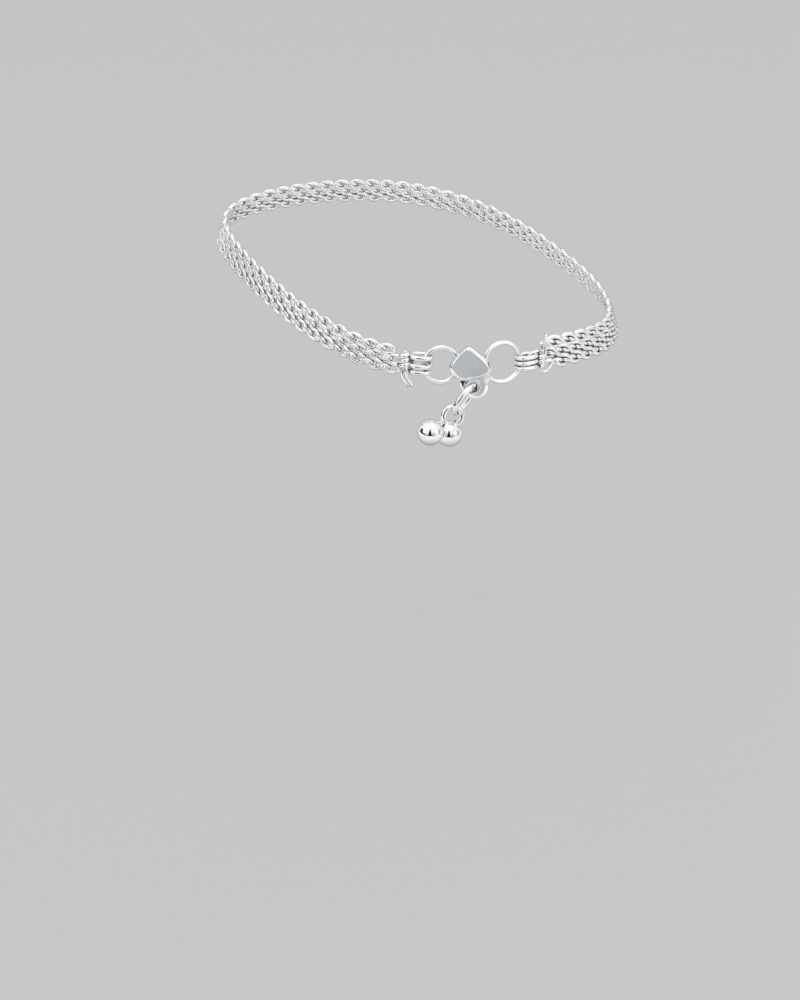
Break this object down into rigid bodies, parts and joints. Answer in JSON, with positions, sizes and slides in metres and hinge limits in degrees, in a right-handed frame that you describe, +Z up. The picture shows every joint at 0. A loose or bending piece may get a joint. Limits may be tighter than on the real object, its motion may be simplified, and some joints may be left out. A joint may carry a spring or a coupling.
{
  "type": "payal anklet",
  "caption": "Flexible silver ankle chain woven from rows of curb links, closed by round rings and a heart clasp with a drop of small round bells.",
  "frame": {"origin": "on the leg's axis, in the middle of the loop, where the anklet sits on the ankle", "axes": "+Z up the leg, +X towards the instep, -Y towards the side that carries the clasp"},
  "size_m": [0.092, 0.0829, 0.0294],
  "materials": {
    "silver_chain": "bright polished silver wire links",
    "silver_wire": "bright polished silver wire",
    "silver_cast": "mirror polished silver"
  },
  "bodies": {
    "root": {"chain_row_upper": "silver_chain", "chain_row_middle": "silver_chain", "chain_row_lower": "silver_chain", "tie_wire_left": "silver_wire", "tie_wire_right": "silver_wire", "small_ring_left_1": "silver_wire", "small_ring_left_2": "silver_wire", "small_ring_left_3": "silver_wire", "small_ring_right_1": "silver_wire", "small_ring_right_2": "silver_wire", "small_ring_right_3": "silver_wire", "big_ring_left": "silver_wire", "big_ring_right": "silver_wire", "heart_clasp": "silver_cast", "oval_link": "silver_wire", "bell_pair": "silver_cast"}
  },
  "joints": []
}
